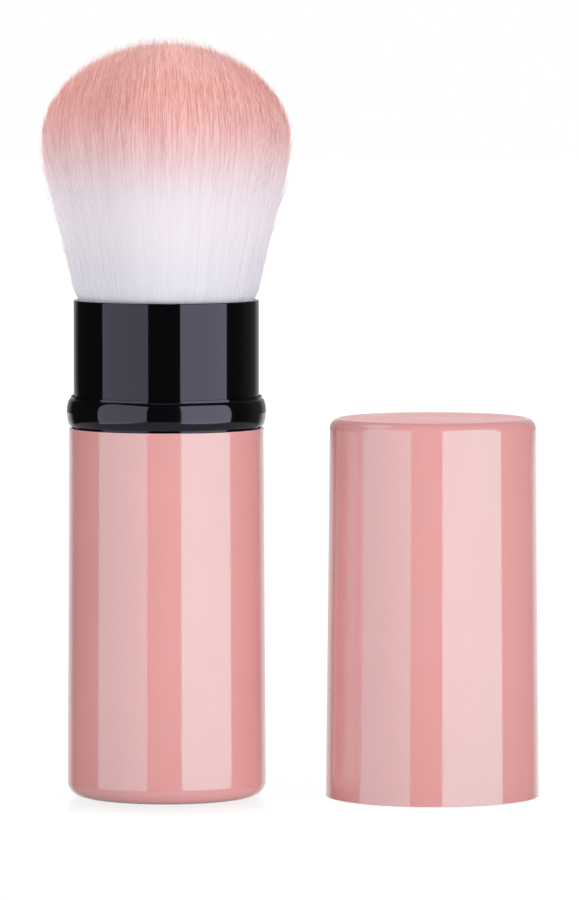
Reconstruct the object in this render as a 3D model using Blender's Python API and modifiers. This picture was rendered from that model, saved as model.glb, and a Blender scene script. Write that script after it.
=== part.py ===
"""A retractable makeup brush, with its cap taken off and standing beside it.

The bristles are glued into a cup on a fixed post. A black sleeve slides up round them to gather them for
storage, and down into the pink base to bare them. It stops with its grip ring on the base's rim, as here, or
with its guide bush under the bristle holder. The cap then goes over the raised sleeve.

Units are metres and +Z is up. The origin is on the brush's axis, on the surface that it stands on.
"""

import math
import random

import bmesh
import bpy

MM = 0.001

# Between pieces that touch, are bonded or run on each other
GAP = 0.3 * MM

# Sleeve tube: black lacquered aluminium, turned in at its foot to hold the guide bush
SLEEVE_RADIUS = 14.2 * MM
SLEEVE_WALL = 0.55 * MM
SLEEVE_ABOVE_RING = 14.7 * MM
SLEEVE_TRAVEL = 36.0 * MM
SLEEVE_HELD_AT_TOP = 12.0 * MM
SLEEVE_FOOT_LIP = 1.2 * MM
SLEEVE_EDGE = 0.18 * MM

# Grip ring: a gloss black bead bonded round the sleeve, which lands on the base's rim
RING_HEIGHT = 4.6 * MM
RING_BULGE = 1.1 * MM
RING_EDGE = 0.15 * MM

# Base shell: a drawn aluminium cup, lacquered pink, a little wider at its foot
BASE_WALL = 0.45 * MM
BASE_FLOOR = 0.7 * MM
BASE_CORNER = 2.4 * MM
BASE_DRAFT = 0.35 * MM
BASE_RIM_EDGE = 0.12 * MM

# Foot plug: a moulding bonded into the cup, with a skirt against its wall and a tower for the post
PLUG_DISC = 2.2 * MM
PLUG_WALL = 1.2 * MM
PLUG_SKIRT_HEIGHT = 5.2 * MM
PLUG_CHAMFER = 2.3 * MM
PLUG_TOWER_HEIGHT = 9.0 * MM
PLUG_TO_SLEEVE = 2.4 * MM

# Post: a moulded tube over the tower and inside the bush, with a shallow groove for each stop
POST_WALL = 1.4 * MM
POST_TOP_WEB = 6.0 * MM
POST_DETENT_DEPTH = 0.2 * MM
POST_DETENT_WIDTH = 1.4 * MM

# Guide bush: a channel-shaped moulding in the sleeve's foot, which slides on the post
BUSH_HEIGHT = 7.5 * MM
BUSH_WALL = 1.2 * MM
BUSH_CHANNEL = 1.05 * MM

# Friction ring: an O-ring in the bush, which rubs on the post and holds the sleeve where it is put
FRICTION_CORD = 1.6 * MM
FRICTION_BACKING = 0.9 * MM

# Bristle holder: a moulding on the post's top, whose underside is the sleeve's upper stop
HOLDER_SLEEVE_GAP = 0.45 * MM
HOLDER_HEIGHT = 5.6 * MM
HOLDER_POST_SOCKET = 1.5 * MM

# Centring ring: an O-ring round the holder, which centres the sleeve's bore
CENTRING_CORD = 1.3 * MM

# Bristle cup: a drawn aluminium cup on the holder, in which the bristles are set
CUP_WALL = 0.4 * MM
CUP_FLOOR = 0.5 * MM
CUP_CORNER = 0.9 * MM
CUP_BELOW_SLEEVE_TOP = 5.9 * MM

# Holder screw: a pan head self-tapping screw, down through the cup and the holder into the post
SCREW_RADIUS = 1.45 * MM
SCREW_ROOT_RADIUS = 1.1 * MM
SCREW_LENGTH = 9.0 * MM
SCREW_PITCH = 1.0 * MM
SCREW_HEAD_RADIUS = 2.8 * MM
SCREW_HEAD_HEIGHT = 1.7 * MM
SCREW_HEAD_DOME = 0.45 * MM
SCREW_SLOT_WIDTH = 0.75 * MM
SCREW_SLOT_LENGTH = 3.4 * MM
SCREW_SLOT_DEPTH = 0.8 * MM

# Glue bed: the epoxy over the screw's head, under the slice of it that the bristles are fused to
GLUE_CHAMFER = 0.9 * MM
SLICE_BELOW_CUP_TOP = 0.3 * MM
SLICE_THICKNESS = 1.5 * MM

# Bristles: straight strands that fan out from the cup, clear the sleeve's lip and end on a dome
BRISTLES_ABOVE_SLEEVE = 39.6 * MM
DOME_HEIGHT = 14.9 * MM
DOME_RADIUS = 19.6 * MM
STRAND_COUNT = 420
STRAND_SIDES = 3
STRAND_RADIUS_SHARE = 0.72
STRAND_TAPER_SHARE = 0.13
STRAND_SCATTER_SHARE = 0.035
STRAND_SEED = 7
GOLDEN_TURN = math.pi * (3 - math.sqrt(5))

# Cap: a drawn aluminium cup, lacquered pink, a little wider at its mouth, standing beside the brush
CAP_DISTANCE = 40.8 * MM
CAP_WALL = 0.4 * MM
CAP_TOP = 0.6 * MM
CAP_CORNER = 1.7 * MM
CAP_TAPER_SHARE = 0.0105
CAP_TIP_PRESS = 1.7 * MM
CAP_MOUTH_EDGE = 0.12 * MM

# Cap insert: a moulded ring in the cap, which grips the raised sleeve and rests on its grip ring
INSERT_LEAD_IN = 0.6 * MM

# Facets
ROUND_SIDES = 48
INNER_SIDES = 32
SMALL_SIDES = 16
CORD_SIDES = 8
CORNER_STEPS = 4
BEAD_STEPS = 9
MERGE_DISTANCE = 0.01 * MM
CUT_OVERRUN = 1.0 * MM
SHARP_ANGLE = math.radians(35)

# Places and radii that follow from the sizes above
base_bore = SLEEVE_RADIUS + GAP
plug_foot = BASE_FLOOR + GAP
plug_disc_top = plug_foot + PLUG_DISC
sleeve_foot = plug_foot + PLUG_SKIRT_HEIGHT + PLUG_TO_SLEEVE
base_height = sleeve_foot + SLEEVE_TRAVEL + SLEEVE_HELD_AT_TOP
ring_foot = base_height + GAP
ring_top = ring_foot + RING_HEIGHT
ring_radius = SLEEVE_RADIUS + RING_BULGE
sleeve_top = ring_top + SLEEVE_ABOVE_RING
sleeve_height = sleeve_top - sleeve_foot
sleeve_bore = SLEEVE_RADIUS - SLEEVE_WALL
bush_foot = sleeve_foot + SLEEVE_WALL + GAP
bush_top = bush_foot + BUSH_HEIGHT
bush_radius = sleeve_bore - GAP
bush_hub = bush_radius - BUSH_WALL - BUSH_CHANNEL
friction_groove = bush_hub - FRICTION_BACKING
friction_radius = friction_groove - GAP - FRICTION_CORD / 2
friction_height = bush_foot + BUSH_HEIGHT / 2
post_radius = friction_radius - FRICTION_CORD / 2 - GAP
holder_foot = bush_top + SLEEVE_TRAVEL + GAP
holder_radius = sleeve_bore - HOLDER_SLEEVE_GAP
centring_radius = sleeve_bore - GAP - CENTRING_CORD / 2
centring_height = HOLDER_HEIGHT / 2
post_foot = plug_disc_top + GAP
post_top = holder_foot + HOLDER_POST_SOCKET - GAP
post_bore = post_radius - POST_WALL
screw_hole = SCREW_RADIUS + GAP
cup_foot = holder_foot + HOLDER_HEIGHT + GAP
cup_bore = holder_radius - CUP_WALL
cup_top = sleeve_top - CUP_BELOW_SLEEVE_TOP
screw_seat = cup_foot + CUP_FLOOR + GAP
slice_top = cup_top - SLICE_BELOW_CUP_TOP
slice_foot = slice_top - SLICE_THICKNESS
slice_radius = cup_bore - GAP
bristle_top = sleeve_top + BRISTLES_ABOVE_SLEEVE
dome_foot = bristle_top - DOME_HEIGHT
fan_at_lip = sleeve_bore - GAP
fan_slope = (DOME_RADIUS - fan_at_lip) / (dome_foot - sleeve_top)
cap_height = bristle_top - base_height - CAP_TIP_PRESS + CAP_TOP
cap_ring_height = ring_top + SLEEVE_TRAVEL - base_height


def clear_scene():
    for old in list(bpy.data.objects):
        bpy.data.objects.remove(old, do_unlink=True)


def new_collection(name):
    made = bpy.data.collections.new(name)
    bpy.context.scene.collection.children.link(made)
    return made


def new_material(name, colour, roughness, metallic=0.0):
    material = bpy.data.materials.new(name)
    material.use_nodes = True
    shader = material.node_tree.nodes["Principled BSDF"]
    shader.inputs["Base Color"].default_value = (*colour, 1.0)
    shader.inputs["Roughness"].default_value = roughness
    shader.inputs["Metallic"].default_value = metallic
    material.diffuse_color = (*colour, 1.0)
    return material


def new_carrier(name, x=0.0, z=0.0):
    """An empty on the joint's axis that carries the pieces of one body."""
    carrier = bpy.data.objects.new(name, None)
    carrier.location = (x, 0.0, z)
    brush.objects.link(carrier)
    return carrier


def arc(centre_radius, centre_height, radius, start, end, steps=CORNER_STEPS, squeeze=1.0):
    """Points along an arc in the turning plane. Angles are in degrees, and squeeze flattens its width."""
    turns = [math.radians(start + (end - start) * i / steps) for i in range(steps + 1)]
    return [
        (centre_radius + squeeze * radius * math.cos(t), centre_height + radius * math.sin(t))
        for t in turns
    ]


def finish(obj, mesh, material, carrier, height):
    """Gives obj its mesh, shading, material and place on its carrier."""
    mesh.shade_smooth()
    mesh.set_sharp_from_angle(angle=SHARP_ANGLE)
    mesh.materials.append(material)
    obj.data = mesh
    obj.parent = carrier
    obj.location.z = height
    return obj


def turned(name, outline, material, carrier, height, sides=ROUND_SIDES):
    """Spins an outline of (radius, height) points about Z. It runs down its outer side.

    An outline that starts on the axis ends there too, and any other is closed.
    """
    wire = bpy.data.meshes.new(name)
    edges = [(i, i + 1) for i in range(len(outline) - 1)]
    if outline[0][0] > 0.0:
        edges.append((len(outline) - 1, 0))
    wire.from_pydata([(radius, 0.0, z) for radius, z in outline], edges, [])
    obj = bpy.data.objects.new(name, wire)
    brush.objects.link(obj)
    screw = obj.modifiers.new("Turn", "SCREW")
    screw.steps = screw.render_steps = sides
    screw.use_merge_vertices = True
    screw.merge_threshold = MERGE_DISTANCE
    bpy.context.view_layer.update()
    graph = bpy.context.evaluated_depsgraph_get()
    mesh = bpy.data.meshes.new_from_object(obj.evaluated_get(graph))
    obj.modifiers.clear()
    return finish(obj, mesh, material, carrier, height)


def move_to(obj, collection):
    for owner in list(obj.users_collection):
        owner.objects.unlink(obj)
    collection.objects.link(obj)


def o_ring(name, centre_radius, cord, carrier, height):
    bpy.ops.mesh.primitive_torus_add(
        major_radius=centre_radius,
        minor_radius=cord / 2,
        major_segments=INNER_SIDES,
        minor_segments=CORD_SIDES,
    )
    ring = bpy.context.object
    ring.name = name
    move_to(ring, brush)
    return finish(ring, ring.data, black_rubber, carrier, height)


def combine(obj, tool, operation):
    """Joins tool to obj, or cuts it from obj. The tool itself is kept among the cutters."""
    move_to(tool, cutters)
    tool.hide_render = True
    tool.display_type = "WIRE"
    modifier = obj.modifiers.new(tool.name, "BOOLEAN")
    modifier.operation = operation
    modifier.object = tool


def make_base_shell():
    rim = base_bore + BASE_WALL
    foot = rim + BASE_DRAFT
    inner_corner = BASE_CORNER - BASE_WALL
    corner_centre = foot - BASE_CORNER
    inside = arc(corner_centre, BASE_FLOOR + inner_corner, inner_corner, -90, 0)
    outside = arc(corner_centre, BASE_CORNER, BASE_CORNER, 0, -90)
    edge = [
        (base_bore, base_height - BASE_RIM_EDGE),
        (base_bore + BASE_RIM_EDGE, base_height),
        (rim - BASE_RIM_EDGE, base_height),
        (rim, base_height - BASE_RIM_EDGE),
    ]
    outline = [(0.0, BASE_FLOOR), *inside, *edge, *outside, (0.0, 0.0)]
    turned("base_shell", outline, pink_lacquer, base, 0.0)


def make_foot_plug():
    skirt = base_bore - GAP
    tower = post_bore - GAP
    tower_top = PLUG_DISC + PLUG_TOWER_HEIGHT
    outline = [
        (0.0, tower_top),
        (tower, tower_top),
        (tower, PLUG_DISC),
        (skirt - PLUG_WALL, PLUG_DISC),
        (skirt - PLUG_WALL, PLUG_SKIRT_HEIGHT),
        (skirt, PLUG_SKIRT_HEIGHT),
        (skirt, PLUG_CHAMFER),
        (skirt - PLUG_CHAMFER, 0.0),
        (tower - PLUG_WALL, 0.0),
        (tower - PLUG_WALL, tower_top - PLUG_WALL),
        (0.0, tower_top - PLUG_WALL),
    ]
    turned("foot_plug", outline, black_moulding, base, plug_foot, sides=INNER_SIDES)


def make_post():
    height = post_top - post_foot
    lower_stop = friction_height - post_foot
    detents = [
        point
        for middle in (lower_stop + SLEEVE_TRAVEL, lower_stop)
        for point in (
            (post_radius, middle + POST_DETENT_WIDTH / 2),
            (post_radius - POST_DETENT_DEPTH, middle),
            (post_radius, middle - POST_DETENT_WIDTH / 2),
        )
    ]
    outline = [
        (post_radius, height),
        *detents,
        (post_radius, 0.0),
        (post_bore, 0.0),
        (post_bore, height - POST_TOP_WEB),
        (screw_hole, height - POST_TOP_WEB),
        (screw_hole, height),
    ]
    turned("post", outline, white_moulding, base, post_foot, sides=INNER_SIDES)


def make_bristle_holder():
    post_socket = post_radius + GAP
    groove_half = CENTRING_CORD / 2 + GAP
    groove_floor = centring_radius - groove_half
    outline = [
        (holder_radius, HOLDER_HEIGHT),
        (holder_radius, centring_height + groove_half),
        (groove_floor, centring_height + groove_half),
        (groove_floor, centring_height - groove_half),
        (holder_radius, centring_height - groove_half),
        (holder_radius, 0.0),
        (post_socket, 0.0),
        (post_socket, HOLDER_POST_SOCKET),
        (screw_hole, HOLDER_POST_SOCKET),
        (screw_hole, HOLDER_HEIGHT),
    ]
    turned("bristle_holder", outline, black_moulding, base, holder_foot, sides=INNER_SIDES)


def make_centring_ring():
    height = holder_foot + centring_height
    o_ring("centring_ring", centring_radius, CENTRING_CORD, base, height)


def make_bristle_cup():
    height = cup_top - cup_foot
    inner_corner = CUP_CORNER - CUP_WALL
    corner_centre = holder_radius - CUP_CORNER
    inside = arc(corner_centre, CUP_FLOOR + inner_corner, inner_corner, -90, 0, steps=2)
    outside = arc(corner_centre, CUP_CORNER, CUP_CORNER, 0, -90, steps=2)
    outline = [
        (screw_hole, CUP_FLOOR),
        *inside,
        (cup_bore, height),
        (holder_radius, height),
        *outside,
        (screw_hole, 0.0),
    ]
    turned("bristle_cup", outline, bare_aluminium, base, cup_foot, sides=INNER_SIDES)


def make_holder_screw():
    ridges = []
    for i in range(int((SCREW_LENGTH - SCREW_RADIUS) / SCREW_PITCH)):
        crest = -SCREW_PITCH * (i + 0.5)
        ridges += [(SCREW_RADIUS, crest), (SCREW_ROOT_RADIUS, crest - SCREW_PITCH / 2)]
    outline = [
        (0.0, SCREW_HEAD_HEIGHT),
        (SCREW_HEAD_RADIUS - SCREW_HEAD_DOME, SCREW_HEAD_HEIGHT),
        (SCREW_HEAD_RADIUS, SCREW_HEAD_HEIGHT - SCREW_HEAD_DOME),
        (SCREW_HEAD_RADIUS, 0.0),
        (SCREW_ROOT_RADIUS, 0.0),
        *ridges,
        (0.0, -SCREW_LENGTH),
    ]
    screw = turned("holder_screw", outline, steel, base, screw_seat, sides=SMALL_SIDES)
    depth = SCREW_SLOT_DEPTH + CUT_OVERRUN
    middle = screw_seat + SCREW_HEAD_HEIGHT - SCREW_SLOT_DEPTH + depth / 2
    for quarter in range(2):
        bpy.ops.mesh.primitive_cube_add(size=1.0, location=(0.0, 0.0, middle))
        slot = bpy.context.object
        slot.name = f"screw_slot_{quarter}"
        slot.scale = (SCREW_SLOT_LENGTH, SCREW_SLOT_WIDTH, depth)
        slot.rotation_euler.z = math.pi / 2 * quarter
        combine(screw, slot, "DIFFERENCE")


def make_glue_bed():
    foot = cup_foot + CUP_FLOOR + GAP
    height = slice_foot - GAP - foot
    well_radius = SCREW_HEAD_RADIUS + GAP
    well_top = screw_seat + SCREW_HEAD_HEIGHT + GAP - foot
    outline = [
        (0.0, height),
        (slice_radius, height),
        (slice_radius, GLUE_CHAMFER),
        (slice_radius - GLUE_CHAMFER, 0.0),
        (well_radius, 0.0),
        (well_radius, well_top),
        (0.0, well_top),
    ]
    turned("glue_bed", outline, epoxy, base, foot, sides=INNER_SIDES)


def fan_radius(height):
    """The outer radius of the fan of bristles, a straight cone that clears the sleeve's lip."""
    return fan_at_lip + fan_slope * (height - sleeve_top)


def strand_end(centre_share):
    """The height where a strand at this share of the fan's radius meets the dome, an ellipse in section."""
    out = centre_share * fan_slope * DOME_HEIGHT / DOME_RADIUS
    up = (math.sqrt(1.0 - centre_share**2 + out**2) - centre_share * out) / (1.0 + out**2)
    return dome_foot + DOME_HEIGHT * up


def add_strand(shape, centre_share, radius_share, angle, length_share):
    """Adds a strand, whose place and width keep their shares of the fan's radius, so that none cross."""
    foot = slice_foot + SLICE_THICKNESS / 2
    end = sleeve_top + (strand_end(centre_share) - sleeve_top) * length_share
    taper_start = end - (end - sleeve_top) * STRAND_TAPER_SHARE

    def vertex(height, width_share, turn):
        x = centre_share * math.cos(angle) + width_share * math.cos(turn)
        y = centre_share * math.sin(angle) + width_share * math.sin(turn)
        return shape.verts.new((fan_radius(height) * x, fan_radius(height) * y, height))

    turns = [angle + math.tau * i / STRAND_SIDES for i in range(STRAND_SIDES)]
    lower = [vertex(foot, radius_share, turn) for turn in turns]
    upper = [vertex(taper_start, radius_share, turn) for turn in turns]
    tip = vertex(end, 0.0, angle)
    shape.faces.new(list(reversed(lower)))
    for i in range(STRAND_SIDES):
        j = (i + 1) % STRAND_SIDES
        shape.faces.new((lower[i], lower[j], upper[j], upper[i]))
        shape.faces.new((upper[i], upper[j], tip))


def make_bristle_tuft():
    """Strands spread like a sunflower's seeds, fused to their slice of the glue.

    The nearest seeds lie 1.54 steps apart, so strands with a radius of 0.72 steps keep clear.
    """
    step_share = 1.0 / math.sqrt(STRAND_COUNT)
    radius_share = STRAND_RADIUS_SHARE * step_share
    scatter = random.Random(STRAND_SEED)
    shape = bmesh.new()
    for i in range(STRAND_COUNT):
        centre_share = (1.0 - radius_share) * step_share * math.sqrt(i + 0.5)
        length_share = 1.0 - STRAND_SCATTER_SHARE * scatter.random()
        add_strand(shape, centre_share, radius_share, GOLDEN_TURN * i, length_share)
    mesh = bpy.data.meshes.new("strands")
    shape.to_mesh(mesh)
    shape.free()
    strands = bpy.data.objects.new("strands", mesh)
    outline = [
        (0.0, SLICE_THICKNESS),
        (slice_radius, SLICE_THICKNESS),
        (slice_radius, 0.0),
        (0.0, 0.0),
    ]
    tuft = turned("bristle_tuft", outline, nylon, base, slice_foot)
    combine(tuft, strands, "UNION")


def make_sleeve_tube():
    lip_radius = sleeve_bore - SLEEVE_FOOT_LIP
    outline = [
        (SLEEVE_RADIUS - SLEEVE_EDGE, sleeve_height),
        (SLEEVE_RADIUS, sleeve_height - SLEEVE_EDGE),
        (SLEEVE_RADIUS, SLEEVE_EDGE),
        (SLEEVE_RADIUS - SLEEVE_EDGE, 0.0),
        (lip_radius, 0.0),
        (lip_radius, SLEEVE_WALL),
        (sleeve_bore, SLEEVE_WALL),
        (sleeve_bore, sleeve_height - SLEEVE_EDGE),
        (sleeve_bore + SLEEVE_EDGE, sleeve_height),
    ]
    turned("sleeve_tube", outline, black_lacquer, sleeve, 0.0)


def make_grip_ring():
    inner = SLEEVE_RADIUS + GAP
    edge = inner + RING_EDGE
    half = RING_HEIGHT / 2
    bead = arc(edge, half, half, 90, -90, steps=BEAD_STEPS, squeeze=(ring_radius - edge) / half)
    outline = [*bead, (inner, 0.0), (inner, RING_HEIGHT)]
    turned("grip_ring", outline, black_gloss, sleeve, ring_foot - sleeve_foot)


def make_guide_bush():
    bore = post_radius + GAP
    channel = bush_radius - BUSH_WALL
    groove_middle = BUSH_HEIGHT / 2
    groove_half = FRICTION_CORD / 2 + GAP
    outline = [
        (bush_radius, BUSH_HEIGHT),
        (bush_radius, 0.0),
        (bore, 0.0),
        (bore, groove_middle - groove_half),
        (friction_groove, groove_middle - groove_half),
        (friction_groove, groove_middle + groove_half),
        (bore, groove_middle + groove_half),
        (bore, BUSH_HEIGHT),
        (bush_hub, BUSH_HEIGHT),
        (bush_hub, BUSH_WALL),
        (channel, BUSH_WALL),
        (channel, BUSH_HEIGHT),
    ]
    turned("guide_bush", outline, white_moulding, sleeve, bush_foot - sleeve_foot, sides=INNER_SIDES)


def make_friction_ring():
    height = friction_height - sleeve_foot
    o_ring("friction_ring", friction_radius, FRICTION_CORD, sleeve, height)


def cap_bore(height):
    """The cap's bore at a height over its mouth. It clears the grip ring where the closed cap has it."""
    return ring_radius + GAP + CAP_TAPER_SHARE * (cap_ring_height - height)


def make_cap_shell():
    corner_foot = cap_height - CAP_CORNER
    inner_corner = CAP_CORNER - CAP_WALL
    corner_centre = cap_bore(corner_foot) - inner_corner
    mouth_bore = cap_bore(0.0)
    mouth = mouth_bore + CAP_WALL
    outside = arc(corner_centre, corner_foot, CAP_CORNER, 90, 0)
    inside = arc(corner_centre, cap_height - CAP_TOP - inner_corner, inner_corner, 0, 90)
    edge = [
        (mouth, CAP_MOUTH_EDGE),
        (mouth - CAP_MOUTH_EDGE, 0.0),
        (mouth_bore + CAP_MOUTH_EDGE, 0.0),
        (mouth_bore, CAP_MOUTH_EDGE),
    ]
    outline = [(0.0, cap_height), *outside, *edge, *inside, (0.0, cap_height - CAP_TOP)]
    turned("cap_shell", outline, pink_lacquer, cap, 0.0)


def make_cap_insert():
    foot = cap_ring_height + GAP
    top = cap_height - CAP_CORNER - GAP
    grip = SLEEVE_RADIUS + GAP
    outline = [
        (cap_bore(top) - GAP, top - foot),
        (cap_bore(foot) - GAP, 0.0),
        (grip + INSERT_LEAD_IN, 0.0),
        (grip, INSERT_LEAD_IN),
        (grip, top - foot),
    ]
    turned("cap_insert", outline, white_moulding, cap, foot)


clear_scene()
brush = new_collection("retractable_makeup_brush")
cutters = new_collection("cutters")

pink_lacquer = new_material("pink_lacquer", (0.80, 0.36, 0.36), 0.12)
black_lacquer = new_material("black_lacquer", (0.008, 0.008, 0.010), 0.06)
black_gloss = new_material("black_gloss", (0.008, 0.008, 0.010), 0.08)
black_moulding = new_material("black_moulding", (0.015, 0.015, 0.016), 0.45)
white_moulding = new_material("white_moulding", (0.72, 0.71, 0.68), 0.45)
bare_aluminium = new_material("bare_aluminium", (0.80, 0.81, 0.82), 0.32, metallic=1.0)
steel = new_material("steel", (0.62, 0.62, 0.64), 0.30, metallic=1.0)
black_rubber = new_material("black_rubber", (0.02, 0.02, 0.02), 0.75)
epoxy = new_material("epoxy", (0.66, 0.58, 0.40), 0.30)
nylon = new_material("nylon", (0.80, 0.45, 0.44), 0.60)

base = new_carrier("base")
sleeve = new_carrier("sleeve", z=sleeve_foot)
cap = new_carrier("cap", x=CAP_DISTANCE)

make_base_shell()
make_foot_plug()
make_post()
make_bristle_holder()
make_centring_ring()
make_bristle_cup()
make_holder_screw()
make_glue_bed()
make_bristle_tuft()
make_sleeve_tube()
make_grip_ring()
make_guide_bush()
make_friction_ring()
make_cap_shell()
make_cap_insert()
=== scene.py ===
"""The looks of a retractable makeup brush that stands beside its cap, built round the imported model.

Units are metres and +Z is up. The brush stands on the origin, and its cap stands at +X.
"""

import math

import bmesh
import bpy
import numpy as np
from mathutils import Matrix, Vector


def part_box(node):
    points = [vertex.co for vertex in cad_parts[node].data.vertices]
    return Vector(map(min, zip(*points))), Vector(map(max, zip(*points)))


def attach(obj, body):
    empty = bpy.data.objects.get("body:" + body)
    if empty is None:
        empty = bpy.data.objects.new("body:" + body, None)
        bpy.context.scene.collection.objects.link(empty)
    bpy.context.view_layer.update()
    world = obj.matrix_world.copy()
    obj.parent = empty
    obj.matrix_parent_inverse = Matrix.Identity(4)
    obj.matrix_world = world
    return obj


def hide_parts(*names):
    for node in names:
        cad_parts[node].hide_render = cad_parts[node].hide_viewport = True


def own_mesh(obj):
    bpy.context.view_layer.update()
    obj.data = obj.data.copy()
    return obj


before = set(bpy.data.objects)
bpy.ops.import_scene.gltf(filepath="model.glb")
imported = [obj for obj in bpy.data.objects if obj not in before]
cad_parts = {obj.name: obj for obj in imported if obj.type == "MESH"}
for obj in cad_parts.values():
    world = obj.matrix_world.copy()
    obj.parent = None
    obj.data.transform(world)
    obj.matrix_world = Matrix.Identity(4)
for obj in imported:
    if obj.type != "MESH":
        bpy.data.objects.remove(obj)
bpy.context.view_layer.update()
bpy.ops.object.select_all(action="DESELECT")


# Base cup: a deep-drawn aluminium cup in glossy salmon-pink lacquer, a little wider at its foot.
# The post stands in it, the sleeve slides down into it, and the grip ring lands on its thin rim.

MM = 0.001
BASE_WALL = 0.45 * MM
BASE_FLOOR = 0.7 * MM
BASE_DRAFT = 0.35 * MM
BASE_CORNER = 2.4 * MM
BASE_INNER_CORNER = 1.5 * MM
RIM_EDGE = 0.12 * MM
ROUND_FACETS = 192
CORNER_FACETS = 12
EDGE_FACETS = 3
SHARP_ANGLE = math.radians(40)
LEVEL_NORMAL = 0.9
SAME_HEIGHT = 1e-6
SAME_RADIUS = 1e-5
SALMON_PINK = (0.775, 0.355, 0.35, 1.0)
# A pale pink for the pearl flakes and for the rim's line, which is partly wear and partly a painted
# highlight.
PEARL_AND_RIM_HIGHLIGHT_PINK = (0.84, 0.52, 0.50, 1.0)
PALE_SHINE = (0.25, 0.97, 1.0, 1.0)


def open_for_editing(piece, name):
    """Names a new primitive, puts its place in its mesh and opens it with nothing selected."""
    piece.name = name
    bpy.ops.object.transform_apply(location=True, rotation=True, scale=True)
    bpy.ops.object.mode_set(mode="EDIT")
    bpy.ops.mesh.select_all(action="DESELECT")


def pick_faces(wanted):
    """Selects only the faces for which wanted(middle, normal) is true."""
    bpy.ops.mesh.select_all(action="DESELECT")
    bpy.ops.mesh.select_mode(type="FACE")
    shape = bmesh.from_edit_mesh(bpy.context.object.data)
    for face in shape.faces:
        face.select_set(bool(wanted(face.calc_center_median(), face.normal)))
    bmesh.update_edit_mesh(bpy.context.object.data)


def pick_edges(wanted):
    """Selects only the edges for which wanted(start, end) is true."""
    bpy.ops.mesh.select_all(action="DESELECT")
    bpy.ops.mesh.select_mode(type="EDGE")
    shape = bmesh.from_edit_mesh(bpy.context.object.data)
    for edge in shape.edges:
        edge.select_set(bool(wanted(edge.verts[0].co, edge.verts[1].co)))
    bmesh.update_edit_mesh(bpy.context.object.data)


def pick_rings(height, radius=None, middle_x=0.0):
    """Selects the round edge loops at this height, or only the one of this radius."""

    def on_ring(point):
        if abs(point.z - height) > SAME_HEIGHT:
            return False
        out = math.hypot(point.x - middle_x, point.y)
        return radius is None or abs(out - radius) < SAME_RADIUS

    pick_edges(lambda start, end: on_ring(start) and on_ring(end))


def finish_shape(piece, material):
    """Leaves edit mode and gives the piece smooth round walls, crisp edges and its finish."""
    bpy.ops.object.mode_set(mode="OBJECT")
    bpy.ops.object.shade_smooth_by_angle(angle=SHARP_ANGLE)
    bpy.ops.object.modifier_add(type="WEIGHTED_NORMAL")
    piece.modifiers[-1].keep_sharp = True
    bpy.ops.object.modifier_apply(modifier=piece.modifiers[-1].name)
    piece.data.materials.append(material)
    piece.select_set(False)


def add_node(owner, kind, inputs=None, **settings):
    """Adds a shader node to a material or the world. An input is a value, or what feeds it."""
    node = owner.node_tree.nodes.new(kind)
    for name, value in settings.items():
        setattr(node, name, value)
    for name, value in (inputs or {}).items():
        if isinstance(value, bpy.types.NodeSocket):
            owner.node_tree.links.new(value, node.inputs[name])
        else:
            node.inputs[name].default_value = value
    return node


def object_place(owner):
    return add_node(owner, "ShaderNodeTexCoord").outputs["Object"]


def split(owner, vector):
    """The outputs X, Y and Z of a vector or a colour."""
    return add_node(owner, "ShaderNodeSeparateXYZ", {"Vector": vector}).outputs


def maths(owner, operation, first, second=None):
    sides = {0: first} if second is None else {0: first, 1: second}
    return add_node(owner, "ShaderNodeMath", sides, operation=operation).outputs[0]


def noise(owner, place, per_metre, detail=2.0):
    inputs = {"Vector": place, "Scale": per_metre, "Detail": detail}
    return add_node(owner, "ShaderNodeTexNoise", inputs).outputs["Fac"]


def cells(owner, place, per_metre):
    """The outputs Color and Distance of a pattern of small cells."""
    inputs = {"Vector": place, "Scale": per_metre}
    return add_node(owner, "ShaderNodeTexVoronoi", inputs).outputs


def spread(owner, value, reach, onto):
    """Spreads a value from one range onto another, with soft ends."""
    low, high = reach
    out_low, out_high = onto
    inputs = {
        "Value": value, "From Min": low, "From Max": high, "To Min": out_low, "To Max": out_high,
    }
    node = add_node(owner, "ShaderNodeMapRange", inputs, interpolation_type="SMOOTHSTEP")
    return node.outputs["Result"]


def blend_colours(owner, share, first, second):
    """Blends two colours. A Mix node has its colours at inputs 6 and 7 and at output 2."""
    inputs = {"Factor": share, 6: first, 7: second}
    return add_node(owner, "ShaderNodeMix", inputs, data_type="RGBA").outputs[2]


def bump(owner, height, strength, depth):
    inputs = {"Height": height, "Strength": strength, "Distance": depth}
    return add_node(owner, "ShaderNodeBump", inputs).outputs["Normal"]


def toned(colour, factor, lift=0.0):
    return tuple(channel * factor + lift for channel in colour[:3]) + (1.0,)


def new_finish(name, **uniform):
    """A Principled material, with the values that are the same all over set on its sockets."""
    material = bpy.data.materials.new(name)
    material.use_nodes = True
    shader = material.node_tree.nodes["Principled BSDF"]
    for socket, value in uniform.items():
        shader.inputs[socket.replace("_", " ")].default_value = value
    return material


def feed(material, **patterns):
    """Plugs patterns into the sockets of the material's shader."""
    shader = material.node_tree.nodes["Principled BSDF"]
    for socket, pattern in patterns.items():
        material.node_tree.links.new(pattern, shader.inputs[socket.replace("_", " ")])


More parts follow.
